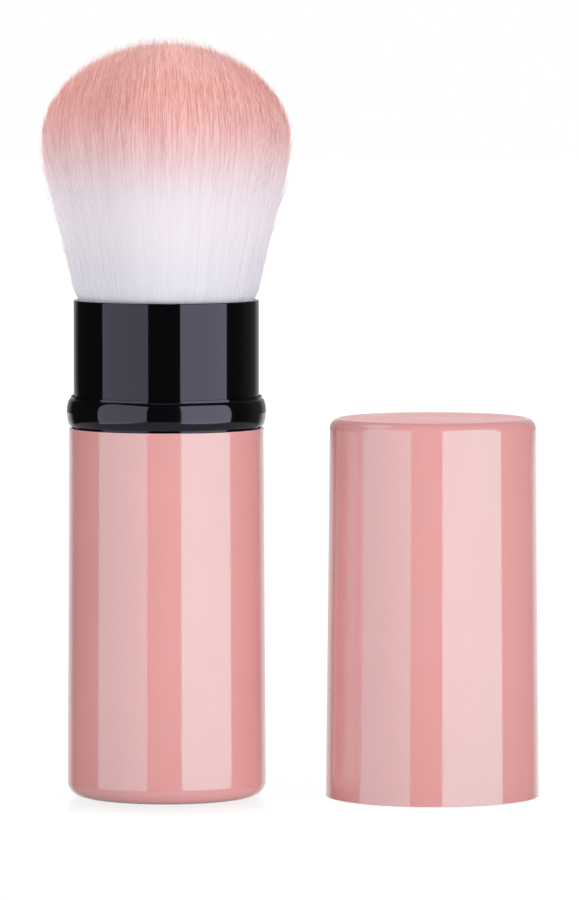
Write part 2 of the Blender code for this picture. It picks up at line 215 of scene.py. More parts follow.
def lacquer(name, rim):
    """Sprayed gloss lacquer over drawn aluminium: a faint orange peel, a fine pearl in the colour,
    handling marks in the gloss, and a paler line at the rim's height, partly wear where the coat
    thins and partly a painted highlight."""
    paint = new_finish(name, IOR=1.68, Specular_IOR_Level=1.0, Specular_Tint=PALE_SHINE)
    place = object_place(paint)
    drift = spread(paint, noise(paint, place, per_metre=55.0), (0.35, 0.65), onto=(0.0, 0.35))
    drifted = blend_colours(paint, drift, SALMON_PINK, toned(SALMON_PINK, 0.93))
    pearl = split(paint, cells(paint, place, per_metre=7000.0)["Color"])["X"]
    flake = spread(paint, pearl, (0.75, 1.0), onto=(0.0, 0.10))
    flaked = blend_colours(paint, flake, drifted, PEARL_AND_RIM_HIGHLIGHT_PINK)
    from_rim = maths(paint, "ABSOLUTE", maths(paint, "SUBTRACT", split(paint, place)["Z"], rim))
    # The paler line at the rim's height is partly coat wear and partly a painted highlight.
    rim_wear_and_highlight = spread(paint, from_rim, (0.05 * MM, 0.22 * MM), onto=(0.55, 0.0))
    marks = noise(paint, place, per_metre=140.0, detail=4.0)
    peel = noise(paint, place, per_metre=520.0)
    feed(
        paint,
        Base_Color=blend_colours(paint, rim_wear_and_highlight, flaked, PEARL_AND_RIM_HIGHLIGHT_PINK),
        Roughness=spread(paint, marks, (0.40, 0.75), onto=(0.06, 0.12)),
        Normal=bump(paint, peel, strength=0.10, depth=0.02 * MM),
    )
    return paint


base_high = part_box("base_shell")[1]
base_foot_radius = base_high.x
base_height = base_high.z
base_rim_radius = base_foot_radius - BASE_DRAFT

pink_lacquer = lacquer("pink_lacquer", rim=base_height)

bpy.ops.mesh.primitive_cylinder_add(
    vertices=ROUND_FACETS,
    radius=base_foot_radius,
    depth=base_height,
    location=(0, 0, base_height / 2),
)
base_cup = bpy.context.object
open_for_editing(base_cup, "base_cup")
pick_faces(lambda middle, normal: normal.z > LEVEL_NORMAL)
narrower = base_rim_radius / base_foot_radius
bpy.ops.transform.resize(value=(narrower, narrower, 1), center_override=(0, 0, base_height))
bpy.ops.mesh.inset(thickness=BASE_WALL)
bpy.ops.mesh.extrude_region_move(
    TRANSFORM_OT_translate={"value": (0, 0, BASE_FLOOR - base_height)}
)
pick_rings(BASE_FLOOR)
bpy.ops.mesh.bevel(offset=BASE_INNER_CORNER, segments=CORNER_FACETS // 2, affect="EDGES")
pick_rings(0.0)
bpy.ops.mesh.bevel(offset=BASE_CORNER, segments=CORNER_FACETS, affect="EDGES")
pick_rings(base_height)
bpy.ops.mesh.bevel(offset=RIM_EDGE, segments=EDGE_FACETS, affect="EDGES")
finish_shape(base_cup, pink_lacquer)
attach(base_cup, "base")
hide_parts("base_shell")


# Foot plug and bristle holder: black ABS mouldings. The plug is bonded into the base cup with the
# post on its tower, and the holder sits on the post's top. Their spark-eroded moulds leave a grain.

BLACK_ABS = (0.012, 0.012, 0.013, 1.0)


def moulding(name, colour, grains_per_metre):
    """Moulded plastic with a clouded colour and gloss, and fine pits."""
    plastic = new_finish(name)
    place = object_place(plastic)
    cloud = noise(plastic, place, per_metre=90.0, detail=3.0)
    clouded = spread(plastic, cloud, (0.3, 0.7), onto=(0.0, 0.6))
    pits = noise(plastic, place, per_metre=grains_per_metre, detail=4.0)
    feed(
        plastic,
        Base_Color=blend_colours(plastic, clouded, colour, toned(colour, 1.25, lift=0.004)),
        Roughness=spread(plastic, cloud, (0.3, 0.7), onto=(0.38, 0.52)),
        Normal=bump(plastic, pits, strength=0.35, depth=0.03 * MM),
    )
    return plastic


def refinish(material, *nodes):
    """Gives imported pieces, which keep their shape, a finish."""
    for node in nodes:
        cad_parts[node].material_slots[0].material = material


black_moulding = moulding("black_moulding", BLACK_ABS, grains_per_metre=3200.0)
refinish(black_moulding, "foot_plug", "bristle_holder")


# Post and guide bush: white POM, which slides well on itself. The post is pushed over the plug's
# tower, and the bush sits in the sleeve's turned-in foot and runs on the post.

WHITE_POM = (0.70, 0.69, 0.66, 1.0)

white_moulding = moulding("white_moulding", WHITE_POM, grains_per_metre=2600.0)
refinish(white_moulding, "post", "guide_bush")


# Rubber rings: moulded black nitrile, a little dusty. One rubs on the post inside the bush, and one
# centres the sleeve round the bristle holder.

CLEAN_RUBBER = (0.014, 0.014, 0.014, 1.0)
DUSTY_RUBBER = (0.055, 0.053, 0.050, 1.0)

black_rubber = new_finish("black_rubber", Specular_IOR_Level=0.35)
dust = noise(black_rubber, object_place(black_rubber), per_metre=420.0, detail=4.0)
dusty = spread(black_rubber, dust, (0.45, 0.8), onto=(0.0, 0.5))
feed(
    black_rubber,
    Base_Color=blend_colours(black_rubber, dusty, CLEAN_RUBBER, DUSTY_RUBBER),
    Roughness=spread(black_rubber, dust, (0.4, 0.8), onto=(0.55, 0.8)),
    Normal=bump(black_rubber, dust, strength=0.3, depth=0.02 * MM),
)
refinish(black_rubber, "friction_ring", "centring_ring")


# Bristle cup and its screw: a bare drawn aluminium cup on the holder, and a steel self-tapping
# screw down through both. Drawing leaves upright lines on the cup, and turning leaves rings on the
# screw.

ALUMINIUM_GREY = (0.80, 0.81, 0.82, 1.0)
STEEL_GREY = (0.60, 0.60, 0.62, 1.0)


def tool_lines(owner, lines_per_metre):
    """A noise that is squeezed by its own amount along X, Y and Z, which makes lines of it."""
    inputs = {"Vector": object_place(owner), "Scale": lines_per_metre}
    squeezed = add_node(owner, "ShaderNodeMapping", inputs).outputs["Vector"]
    return noise(owner, squeezed, per_metre=1.0, detail=3.0)


def bare_metal(name, colour, lines_per_metre):
    metal = new_finish(name, Metallic=1.0)
    lines = tool_lines(metal, lines_per_metre)
    lined = spread(metal, lines, (0.35, 0.7), onto=(0.0, 1.0))
    feed(
        metal,
        Base_Color=blend_colours(metal, lined, colour, toned(colour, 0.8)),
        Roughness=spread(metal, lines, (0.3, 0.7), onto=(0.22, 0.42)),
        Normal=bump(metal, lines, strength=0.3, depth=0.02 * MM),
    )
    return metal


bare_aluminium = bare_metal("bare_aluminium", ALUMINIUM_GREY, (3500.0, 3500.0, 120.0))
steel = bare_metal("steel", STEEL_GREY, (250.0, 250.0, 5200.0))
refinish(bare_aluminium, "bristle_cup")
refinish(steel, "holder_screw")


# Glue: amber epoxy poured over the screw's head, which sets with small bubbles and darker swirls.

AMBER = (0.66, 0.57, 0.38, 1.0)
DARK_AMBER = (0.46, 0.36, 0.19, 1.0)

epoxy = new_finish("epoxy", Specular_IOR_Level=0.5, Coat_Weight=0.4, Coat_Roughness=0.1)
epoxy_place = object_place(epoxy)
swirl = noise(epoxy, epoxy_place, per_metre=160.0, detail=4.0)
swirled = spread(epoxy, swirl, (0.35, 0.7), onto=(0.0, 1.0))
bubbles = cells(epoxy, epoxy_place, per_metre=900.0)["Distance"]
feed(
    epoxy,
    Base_Color=blend_colours(epoxy, swirled, AMBER, DARK_AMBER),
    Roughness=spread(epoxy, swirl, (0.3, 0.7), onto=(0.2, 0.36)),
    Normal=bump(epoxy, bubbles, strength=0.4, depth=0.05 * MM),
)
refinish(epoxy, "glue_bed")


# Sleeve: a tube in glossy black lacquer, turned in at its foot to hold the guide bush. It slides
# up round the bristles, and handling wears faint upright lines into its gloss.

SLEEVE_WALL = 0.55 * MM
SLEEVE_FOOT_LIP = 1.75 * MM
SLEEVE_FOOT_CORNER = 0.5 * MM
SLEEVE_LIP_EDGE = 0.17 * MM
GLOSS_BLACK = (0.0016, 0.0015, 0.0019, 1.0)
PALE_DUST = (0.05, 0.05, 0.055, 1.0)
COOL_GLOSS = (0.784, 0.734, 1.0, 1.0)


def gloss_black(name, shine, lines_per_metre, line_strength):
    """Black gloss with a cool tint in its shine, dust specks, handling marks and fine lines."""
    black = new_finish(name, Specular_Tint=COOL_GLOSS, Specular_IOR_Level=shine)
    place = object_place(black)
    specks = noise(black, place, per_metre=2600.0)
    specked = spread(black, specks, (0.70, 0.82), onto=(0.0, 0.25))
    marks = noise(black, place, per_metre=120.0, detail=4.0)
    lines = tool_lines(black, lines_per_metre)
    feed(
        black,
        Base_Color=blend_colours(black, specked, GLOSS_BLACK, PALE_DUST),
        Roughness=spread(black, marks, (0.35, 0.75), onto=(0.035, 0.085)),
        Normal=bump(black, lines, strength=line_strength, depth=0.01 * MM),
    )
    return black


sleeve_low, sleeve_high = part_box("sleeve_tube")
sleeve_radius = sleeve_high.x
black_lacquer = gloss_black("black_lacquer", 0.80, (900.0, 900.0, 30.0), line_strength=0.08)

bpy.ops.mesh.primitive_cylinder_add(
    vertices=ROUND_FACETS,
    radius=sleeve_radius,
    depth=sleeve_high.z - sleeve_low.z,
    location=(0, 0, (sleeve_low.z + sleeve_high.z) / 2),
    end_fill_type="NOTHING",
)
sleeve = bpy.context.object
open_for_editing(sleeve, "sleeve")
pick_rings(sleeve_low.z)
bpy.ops.mesh.extrude_edges_move()
turned_in = (sleeve_radius - SLEEVE_FOOT_LIP) / sleeve_radius
bpy.ops.transform.resize(value=(turned_in, turned_in, 1), center_override=(0, 0, sleeve_low.z))
pick_rings(sleeve_low.z, sleeve_radius)
bpy.ops.mesh.bevel(offset=SLEEVE_FOOT_CORNER, segments=EDGE_FACETS, affect="EDGES")
bpy.ops.mesh.select_all(action="SELECT")
bpy.ops.mesh.normals_make_consistent(inside=False)
bpy.ops.object.mode_set(mode="OBJECT")
bpy.ops.object.modifier_add(type="SOLIDIFY")
wall = sleeve.modifiers[-1]
wall.thickness = SLEEVE_WALL
wall.offset = -1.0
wall.use_even_offset = True
bpy.ops.object.modifier_apply(modifier=wall.name)
bpy.ops.object.mode_set(mode="EDIT")
pick_rings(sleeve_high.z)
bpy.ops.mesh.bevel(offset=SLEEVE_LIP_EDGE, segments=EDGE_FACETS, affect="EDGES")
finish_shape(sleeve, black_lacquer)
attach(sleeve, "sleeve")
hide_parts("sleeve_tube")


# Grip ring: a gloss black moulded bead with a low collar, bonded round the sleeve. A finger pushes
# it, and it lands on the base cup's rim.

RING_BORE = 14.5 * MM
RING_BORE_EDGE = 0.15 * MM
RING_COLLAR = 0.35 * MM
BEAD_FACETS = 64
TOUCHING = 1e-7

ring_low, ring_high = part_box("grip_ring")
ring_half = (ring_high.z - RING_COLLAR - ring_low.z) / 2
ring_middle = ring_low.z + ring_half
bead_middle = RING_BORE + RING_BORE_EDGE
black_gloss = gloss_black("black_gloss", 0.95, (300.0, 300.0, 300.0), line_strength=0.05)


def inside_bead(start, end):
    return max(start.x, end.x) < bead_middle + TOUCHING


def on_bead_top(start, end):
    return min(start.z, end.z) > ring_middle + ring_half - TOUCHING


bpy.ops.mesh.primitive_circle_add(
    vertices=BEAD_FACETS,
    radius=ring_half,
    fill_type="NGON",
    location=(bead_middle, 0, ring_middle),
    rotation=(math.pi / 2, 0, 0),
)
grip_ring = bpy.context.object
open_for_editing(grip_ring, "ring_bead")
bpy.ops.mesh.select_all(action="SELECT")
flatter = (ring_high.x - bead_middle) / ring_half
bpy.ops.transform.resize(value=(flatter, 1, 1), center_override=(bead_middle, 0, ring_middle))
bpy.ops.mesh.bisect(
    plane_co=(bead_middle, 0, 0), plane_no=(1, 0, 0), use_fill=False, clear_inner=True
)
pick_edges(inside_bead)
bpy.ops.mesh.extrude_edges_move(TRANSFORM_OT_translate={"value": (-RING_BORE_EDGE, 0, 0)})
pick_edges(lambda start, end: on_bead_top(start, end) and inside_bead(start, end))
bpy.ops.mesh.extrude_edges_move(TRANSFORM_OT_translate={"value": (0, 0, RING_COLLAR)})
bpy.ops.mesh.select_all(action="SELECT")
bpy.ops.mesh.dissolve_faces()
bpy.ops.mesh.select_all(action="SELECT")
bpy.ops.mesh.delete(type="ONLY_FACE")
bpy.ops.mesh.select_all(action="SELECT")
bpy.ops.mesh.spin(steps=ROUND_FACETS, angle=math.tau, center=(0, 0, 0), axis=(0, 0, 1))
bpy.ops.mesh.select_all(action="SELECT")
bpy.ops.mesh.remove_doubles(threshold=TOUCHING)
bpy.ops.mesh.normals_make_consistent(inside=False)
finish_shape(grip_ring, black_gloss)
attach(grip_ring, "sleeve")
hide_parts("grip_ring")


# Bristles: fine nylon hairs with tapered tips, fused into a slice of epoxy in the cup. They fan
# out over the sleeve's lip and are cut to a dome, white at the root and dyed pink at the tip. The
# roots near the lip have painted shade, and some hairs have pale ends painted for light through
# their thin tips. 28,000 hairs stand for the real tuft's larger number.

SLICE_RADIUS = 12.5 * MM
SLICE_THICKNESS = 1.5 * MM
SLICE_CROWN = 0.25 * MM
SLICE_FACETS = 96
CROWN_INSET_SHARES = (0.35, 0.30)

# The hairs' colours at the lip are darker and bluer than higher up: painted shade on the roots.
WHITE_SHADED_AT_LIP = (0.71, 0.705, 0.76, 1.0)
WHITE_HIGHER = (0.785, 0.75, 0.785, 1.0)
GREY_SHADED_AT_LIP = (0.65, 0.645, 0.705, 1.0)
GREY_HIGHER = (0.725, 0.675, 0.725, 1.0)
PALE_DYE = (0.84, 0.525, 0.485, 1.0)
DEEP_DYE = (0.61, 0.25, 0.22, 1.0)
# Pale hair ends: painted light shining through the thin tips.
PALE_LIT_END = (0.97, 0.93, 0.92, 1.0)

LIP_REACH = 13.8 * MM
LIP_TUCK = 0.40 * MM
LIP_TUCK_HEIGHT = 0.6 * MM
SLICE_MARGIN = 0.2 * MM
DOME_RADIUS = 19.1 * MM
DOME_HEIGHT = 14.9 * MM
BEND_BELOW_DOME = 2.5 * MM
BEND_IN = 30.0
HALVINGS = 40

HAIR_SEED = 12
HAIR_COUNT = 28000
OUTER_ROW = 3000
OUTER_ROW_DEPTH = 0.035
GOLDEN_TURN = math.pi * (3 - math.sqrt(5))
TURN_SCATTER = 0.02
ROOT_SCATTER = 0.006
TIP_SCATTER = 0.014
CLUMPS = 900
CLUMP_PULL = 0.14
FLARE = 0.008
WIDEST_TIP = 1.08
LOOSE_SHARE = 0.13
LOOSE_REACH = 0.08
LOOSE_WIDTH = 0.5
FRINGE_REACH = 0.045
CUT_BELOW_DOME = 0.05 * MM
SHORT_BY = 1.1 * MM
STRAY_SHARE = 0.25
STRAY_LENGTH = 1.2 * MM
WISPS = 1400
WISP_REACH = 0.9 * MM
WISP_DEPTH = 16.0 * MM

STRAIGHT_LEAST = 1.2 * MM
STRAIGHT_MORE = 1.8 * MM
STATION_SHARES = (0.0, 0.50, 0.72, 0.90, 1.0)
WIDTH_SHARES = (1.0, 1.0, 1.0, 1.0, 0.90, 0.60, 0.10)
HAIR_RADIUS = 0.07 * MM
THINNEST_SHARE = 0.75
THICKER_SHARE = 0.5
TURN_TO_TIP_POWER = 4
WAVE = 0.18 * MM
FEWEST_WAVES = 0.6
MORE_WAVES = 0.6
HAIR_SIDES = 3

HAIR_SECTORS = 24
HAIR_TONES = 64
SHAFT_PLACE = 0.15
SHAFT_ROUND = 0.1
END_SHIFT = 0.5
MAP_ABOVE_DOME = 1.0 * MM

tuft_low, tuft_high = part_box("bristle_tuft")
slice_top = tuft_low.z + SLICE_THICKNESS
lip_height = sleeve_high.z
dome_foot = tuft_high.z - DOME_HEIGHT
fan_slope = (DOME_RADIUS - LIP_REACH) / (dome_foot - lip_height)
bend_height = dome_foot - BEND_BELOW_DOME

# The nylon reads the hair's own map. Across it are the columns of tones, with the shaft low in its
# column and the hair's end high in it, and up it is the height from the sleeve's lip to the top.
nylon = new_finish("nylon", Roughness=0.60, Specular_IOR_Level=0.15, Sheen_Weight=0.5)
hair_map = split(nylon, add_node(nylon, "ShaderNodeUVMap", uv_map="OFBake").outputs["UV"])
hair_column = maths(nylon, "MULTIPLY", hair_map["X"], float(HAIR_TONES))
column_number = maths(nylon, "FLOOR", hair_column)
hair_tone = add_node(
    nylon, "ShaderNodeTexWhiteNoise", {"W": column_number}, noise_dimensions="1D"
).outputs
tone = split(nylon, hair_tone["Color"])["Y"]
# Painted shade: the roots grow darker towards the sleeve's lip.
out_of_lip_shade = spread(nylon, hair_map["Y"], (0.0, 0.28), onto=(0.0, 1.0))
white_root = blend_colours(nylon, out_of_lip_shade, WHITE_SHADED_AT_LIP, WHITE_HIGHER)
grey_root = blend_colours(nylon, out_of_lip_shade, GREY_SHADED_AT_LIP, GREY_HIGHER)
root_colour = blend_colours(nylon, tone, white_root, grey_root)
dye_tone = spread(nylon, tone, (0.35, 0.65), onto=(0.0, 1.0))
tip_colour = blend_colours(nylon, dye_tone, PALE_DYE, DEEP_DYE)
dye_shift = spread(nylon, hair_tone["Value"], (0.0, 1.0), onto=(0.03, -0.03))
dye_height = maths(nylon, "ADD", hair_map["Y"], dye_shift)
dyed = spread(nylon, dye_height, (0.33, 0.83), onto=(0.0, 1.0))
hair_colour = blend_colours(nylon, dyed, root_colour, tip_colour)
# Some hairs get pale ends: painted light through their thin tips.
at_end = spread(nylon, maths(nylon, "FRACT", hair_column), (0.40, 0.65), onto=(0.0, 1.0))
may_be_lit_pale = spread(nylon, hair_tone["Value"], (0.40, 0.70), onto=(0.0, 0.55))
lit_pale_end = maths(nylon, "MULTIPLY", at_end, may_be_lit_pale)
feed(nylon, Base_Color=blend_colours(nylon, lit_pale_end, hair_colour, PALE_LIT_END))

bpy.ops.mesh.primitive_cylinder_add(
    vertices=SLICE_FACETS,
    radius=SLICE_RADIUS,
    depth=SLICE_THICKNESS - SLICE_CROWN,
    location=(0, 0, (tuft_low.z + slice_top - SLICE_CROWN) / 2),
)
hair_slice = bpy.context.object
open_for_editing(hair_slice, "bristle_slice")
pick_faces(lambda middle, normal: normal.z > LEVEL_NORMAL)
for inset_share in CROWN_INSET_SHARES:
    bpy.ops.mesh.inset(thickness=SLICE_RADIUS * inset_share)
    bpy.ops.transform.translate(value=(0, 0, SLICE_CROWN / 2))
finish_shape(hair_slice, epoxy)
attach(hair_slice, "base")
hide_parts("bristle_tuft")

# The roots spread like a sunflower's seeds, with an even row at the edge. Root and tip are shares
# of the fan's radius, and each tip is drawn towards its clump, scattered and flared.
chance = np.random.default_rng(HAIR_SEED)
hairs = np.arange(HAIR_COUNT)
inner = HAIR_COUNT - OUTER_ROW
out = np.where(
    hairs < inner,
    np.sqrt((hairs + 0.5) / inner),
    1.0 - OUTER_ROW_DEPTH * (hairs - inner) / OUTER_ROW,
)
turn = hairs * GOLDEN_TURN + chance.normal(0.0, TURN_SCATTER, HAIR_COUNT)
out = np.clip(out + chance.normal(0.0, ROOT_SCATTER, HAIR_COUNT), 0.0, 1.0)
root = np.stack([out * np.cos(turn), out * np.sin(turn)], axis=1)

clump_out = np.sqrt(chance.random(CLUMPS))
clump_turn = chance.random(CLUMPS) * math.tau
clump = np.stack([clump_out * np.cos(clump_turn), clump_out * np.sin(clump_turn)], axis=1)
nearest = np.argmin(((root[:, None, :] - clump[None, :, :]) ** 2).sum(axis=2), axis=1)
pull = CLUMP_PULL * chance.random(HAIR_COUNT)[:, None]
tip = root + pull * (clump[nearest] - root) + chance.normal(0.0, TIP_SCATTER, (HAIR_COUNT, 2))
tip *= (1.0 + chance.exponential(FLARE, HAIR_COUNT))[:, None]
loose = chance.random(HAIR_COUNT) < LOOSE_SHARE
tip[loose] *= (1.0 + LOOSE_REACH * chance.random(loose.sum()))[:, None]
tip_out = np.hypot(tip[:, 0], tip[:, 1])
tip *= (WIDEST_TIP / np.maximum(tip_out, WIDEST_TIP))[:, None]


def fan_radius(height):
    """The bristles' outer radius: the slice's, then the lip's, then a cone that bends in."""
    past_lip = height - lip_height
    cone = LIP_REACH + fan_slope * past_lip
    tuck = LIP_TUCK * np.exp(-np.maximum(past_lip, 0.0) / LIP_TUCK_HEIGHT)
    bend = BEND_IN * np.maximum(height - bend_height, 0.0) ** 2
    down_sleeve = np.clip(-past_lip / (lip_height - slice_top), 0.0, 1.0)
    narrowing = cone - LIP_TUCK - (SLICE_RADIUS - SLICE_MARGIN)
    return cone - tuck - bend - down_sleeve * narrowing


def dome_top(share):
    """The height where a hair at this share of the fan's radius meets the dome's ellipse."""
    low, high = np.full(share.shape, lip_height), np.full(share.shape, tuft_high.z)
    for _ in range(HALVINGS):
        middle = (low + high) / 2
        rise = np.maximum(middle - dome_foot, 0.0) / DOME_HEIGHT
        inside = share * fan_radius(middle) < DOME_RADIUS * np.sqrt(1 - rise**2)
        low, high = np.where(inside, middle, low), np.where(inside, high, middle)
    return low


# The hairs end on the dome, most a little short of it and some past it. Wisps at the edge end far
# lower, and loose hairs stand out as a fringe.
end = dome_top(np.hypot(tip[:, 0], tip[:, 1]))
end += -CUT_BELOW_DOME - chance.exponential(SHORT_BY, HAIR_COUNT)
end += STRAY_LENGTH * chance.random(HAIR_COUNT) * (chance.random(HAIR_COUNT) < STRAY_SHARE)
wisps = np.arange(HAIR_COUNT - WISPS, HAIR_COUNT)
end[wisps] -= WISP_DEPTH * chance.random(WISPS)
tip[wisps] *= (1.0 + WISP_REACH / DOME_RADIUS * chance.random(WISPS))[:, None]
tip[loose] *= (1.0 + FRINGE_REACH * chance.random(loose.sum()))[:, None]

# A hair has a ring of points in the slice, one at the lip and five from just above it to its end.
slice_middle = (tuft_low.z + slice_top) / 2
first = lip_height + STRAIGHT_LEAST + STRAIGHT_MORE * chance.random(HAIR_COUNT)
heights = np.stack(
    [np.full(HAIR_COUNT, slice_middle), np.full(HAIR_COUNT, lip_height)]
    + [first + share * (end - first) for share in STATION_SHARES],
    axis=1,
)
stations = heights.shape[1]
climb = np.clip((heights - lip_height) / (end - lip_height)[:, None], 0.0, 1.0)
to_tip = (climb**TURN_TO_TIP_POWER)[:, :, None]
share = root[:, None, :] + to_tip * (tip - root)[:, None, :]
centre = share * fan_radius(heights)[:, :, None]
wave = WAVE * chance.random((HAIR_COUNT, 1))
waves = FEWEST_WAVES + MORE_WAVES * chance.random((HAIR_COUNT, 1))
wave = wave * np.sin(climb * math.tau * waves)
wave_turn = chance.random((HAIR_COUNT, 1)) * math.tau
centre[:, :, 0] += wave * np.cos(wave_turn)
centre[:, :, 1] += wave * np.sin(wave_turn)
thickness = THINNEST_SHARE + THICKER_SHARE * chance.random((HAIR_COUNT, 1))
width = np.array(WIDTH_SHARES) * HAIR_RADIUS * thickness
width[loose] *= LOOSE_WIDTH

side_turn = math.tau * (np.arange(HAIR_SIDES) + 0.5) / HAIR_SIDES + turn[:, None, None]
hair_points = np.zeros((HAIR_COUNT, stations, HAIR_SIDES, 3))
hair_points[..., 0] = centre[:, :, None, 0] + width[:, :, None] * np.cos(side_turn)
hair_points[..., 1] = centre[:, :, None, 1] + width[:, :, None] * np.sin(side_turn)
hair_points[..., 2] = heights[:, :, None]

hair_faces, hair_sides = [], []
for station in range(stations - 1):
    for side in range(HAIR_SIDES):
        after = (side + 1) % HAIR_SIDES
        low, high = station * HAIR_SIDES, (station + 1) * HAIR_SIDES
        hair_faces.append((low + side, low + after, high + after, high + side))
        hair_sides.append((side, side + 1, side + 1, side))
hair_faces.append(tuple(reversed(range(HAIR_SIDES))))
hair_sides.append(tuple(reversed(range(HAIR_SIDES))))
last_ring = (stations - 1) * HAIR_SIDES
hair_faces.append(tuple(last_ring + side for side in range(HAIR_SIDES)))
hair_sides.append(tuple(range(HAIR_SIDES)))
corner_point = np.concatenate([np.array(face) for face in hair_faces])
corner_side = np.concatenate([np.array(sides) for sides in hair_sides])
corner_place = SHAFT_PLACE + SHAFT_ROUND * corner_side / HAIR_SIDES
corner_place = corner_place + END_SHIFT * (corner_point >= last_ring)

# Each sector is a piece of its own. A hair casts no shadow: real ones pass light on, and these
# would only darken each other.
hair_angle = np.arctan2(root[:, 1], root[:, 0]) % math.tau
hair_sector = np.minimum((hair_angle / math.tau * HAIR_SECTORS).astype(int), HAIR_SECTORS - 1)
hair_tone_column = chance.integers(0, HAIR_TONES, HAIR_COUNT)
points_each = stations * HAIR_SIDES
map_height = tuft_high.z + MAP_ABOVE_DOME - lip_height
for sector in range(HAIR_SECTORS):
    members = np.nonzero(hair_sector == sector)[0]
    points = hair_points[members].reshape(-1, 3)
    faces = [
        tuple(start + corner for corner in face)
        for start in range(0, len(members) * points_each, points_each)
        for face in hair_faces
    ]
    mesh = bpy.data.meshes.new(f"bristles_{sector + 1:02d}")
    mesh.from_pydata(points.tolist(), [], faces)
    tone_map = mesh.uv_layers.new(name="OFBake")
    across = (hair_tone_column[members][:, None] + corner_place) / HAIR_TONES
    up = hair_points[members].reshape(len(members), -1, 3)[:, corner_point, 2]
    up = np.clip((up - lip_height) / map_height, 0.0, 1.0)
    tone_map.data.foreach_set("uv", np.stack([across, up], axis=2).ravel())
    mesh.shade_flat()
    bristles = bpy.data.objects.new(mesh.name, mesh)
    bpy.context.scene.collection.objects.link(bristles)
    mesh.materials.append(nylon)
    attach(bristles, "base")
    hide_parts("bristle_tuft")
    bristles.visible_shadow = False
    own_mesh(bristles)


# Cap: a deep-drawn aluminium cup in the base's pink lacquer, a little wider at its mouth, standing
# mouth down beside the brush. It goes over the raised sleeve and lands on the base cup's rim.

CAP_WALL = 0.4 * MM
CAP_TOP = 0.6 * MM
CAP_NARROWS = 0.6 * MM
CAP_CORNER = 1.7 * MM
CAP_INNER_CORNER = 1.3 * MM

cap_low, cap_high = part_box("cap_shell")
cap_middle = (cap_low.x + cap_high.x) / 2
cap_mouth_radius = (cap_high.x - cap_low.x) / 2
cap_height = cap_high.z
cap_ceiling = cap_height - CAP_TOP
cap_lacquer = lacquer("cap_lacquer", rim=0.0)

bpy.ops.mesh.primitive_cylinder_add(
    vertices=ROUND_FACETS,
    radius=cap_mouth_radius,
    depth=cap_height,
    location=(cap_middle, 0, cap_height / 2),
)
cap_cup = bpy.context.object
open_for_editing(cap_cup, "cap_cup")
narrower = (cap_mouth_radius - CAP_NARROWS) / cap_mouth_radius
narrow = (narrower, narrower, 1)
pick_faces(lambda middle, normal: normal.z > LEVEL_NORMAL)
bpy.ops.transform.resize(value=narrow, center_override=(cap_middle, 0, cap_height))
pick_faces(lambda middle, normal: normal.z < -LEVEL_NORMAL)
bpy.ops.mesh.inset(thickness=CAP_WALL)
bpy.ops.mesh.extrude_region_move(TRANSFORM_OT_translate={"value": (0, 0, cap_ceiling)})
bpy.ops.transform.resize(value=narrow, center_override=(cap_middle, 0, cap_ceiling))
pick_rings(cap_ceiling, middle_x=cap_middle)
bpy.ops.mesh.bevel(offset=CAP_INNER_CORNER, segments=CORNER_FACETS // 2, affect="EDGES")
pick_rings(cap_height, middle_x=cap_middle)
bpy.ops.mesh.bevel(offset=CAP_CORNER, segments=CORNER_FACETS, affect="EDGES")
pick_rings(0.0, middle_x=cap_middle)
bpy.ops.mesh.bevel(offset=RIM_EDGE, segments=EDGE_FACETS, affect="EDGES")
finish_shape(cap_cup, cap_lacquer)
cap_cup.visible_glossy = False
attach(cap_cup, "cap")
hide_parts("cap_shell")


# Cap insert: a white moulded ring pushed up into the cap, which grips the raised sleeve and rests
# on its grip ring. Its lower bore is chamfered to lead the sleeve in. Neither piece of the cap
# shows in the brush's gloss, because the photographed brush has no image of its cap.

INSERT_BORE = 14.5 * MM
INSERT_LEAD_IN = 0.6 * MM
END_FACE_REACH = 1.0 * MM

insert_low, insert_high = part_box("cap_insert")
insert_radius = (insert_high.x - insert_low.x) / 2
insert_height = insert_high.z - insert_low.z

bpy.ops.mesh.primitive_cylinder_add(
    vertices=ROUND_FACETS,
    radius=insert_radius,
    depth=insert_height,
    location=(cap_middle, 0, (insert_low.z + insert_high.z) / 2),
)
cap_ring = bpy.context.object
open_for_editing(cap_ring, "cap_ring")
pick_faces(lambda middle, normal: normal.z > LEVEL_NORMAL)
slimmer = 1 - CAP_NARROWS / cap_height * insert_height / insert_radius
slim = (slimmer, slimmer, 1)
bpy.ops.transform.resize(value=slim, center_override=(cap_middle, 0, insert_high.z))
bpy.ops.mesh.inset(thickness=insert_radius * slimmer - INSERT_BORE)
pick_faces(lambda middle, normal: normal.z < -LEVEL_NORMAL)
bpy.ops.mesh.inset(thickness=insert_radius - INSERT_BORE)
pick_faces(
    lambda middle, normal: abs(normal.z) > LEVEL_NORMAL
    and math.hypot(middle.x - cap_middle, middle.y) < END_FACE_REACH
)
bpy.ops.mesh.bridge_edge_loops()
pick_rings(insert_low.z, INSERT_BORE, cap_middle)
bpy.ops.mesh.bevel(offset=INSERT_LEAD_IN, segments=1, affect="EDGES")
finish_shape(cap_ring, white_moulding)
cap_ring.visible_glossy = False
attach(cap_ring, "cap")
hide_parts("cap_insert")


# Floor: a wide sheet that the camera sees as pure white, but for the pieces' soft shadows close to
# them and a faint mirror image of the brush's foot.

FLOOR_WIDTH = 8.0
FLOOR_DROP = 0.02 * MM
WHITE = (1.0, 1.0, 1.0, 1.0)
PAPER_WHITE = (0.82, 0.82, 0.82, 1.0)
FLOOR_GLOW = 1.06
SHADOW_FADE = (0.08, 0.22)
SHADOW_SHARE = 0.12
IMAGE_REACH = 17 * MM
IMAGE_SHARE = 0.18

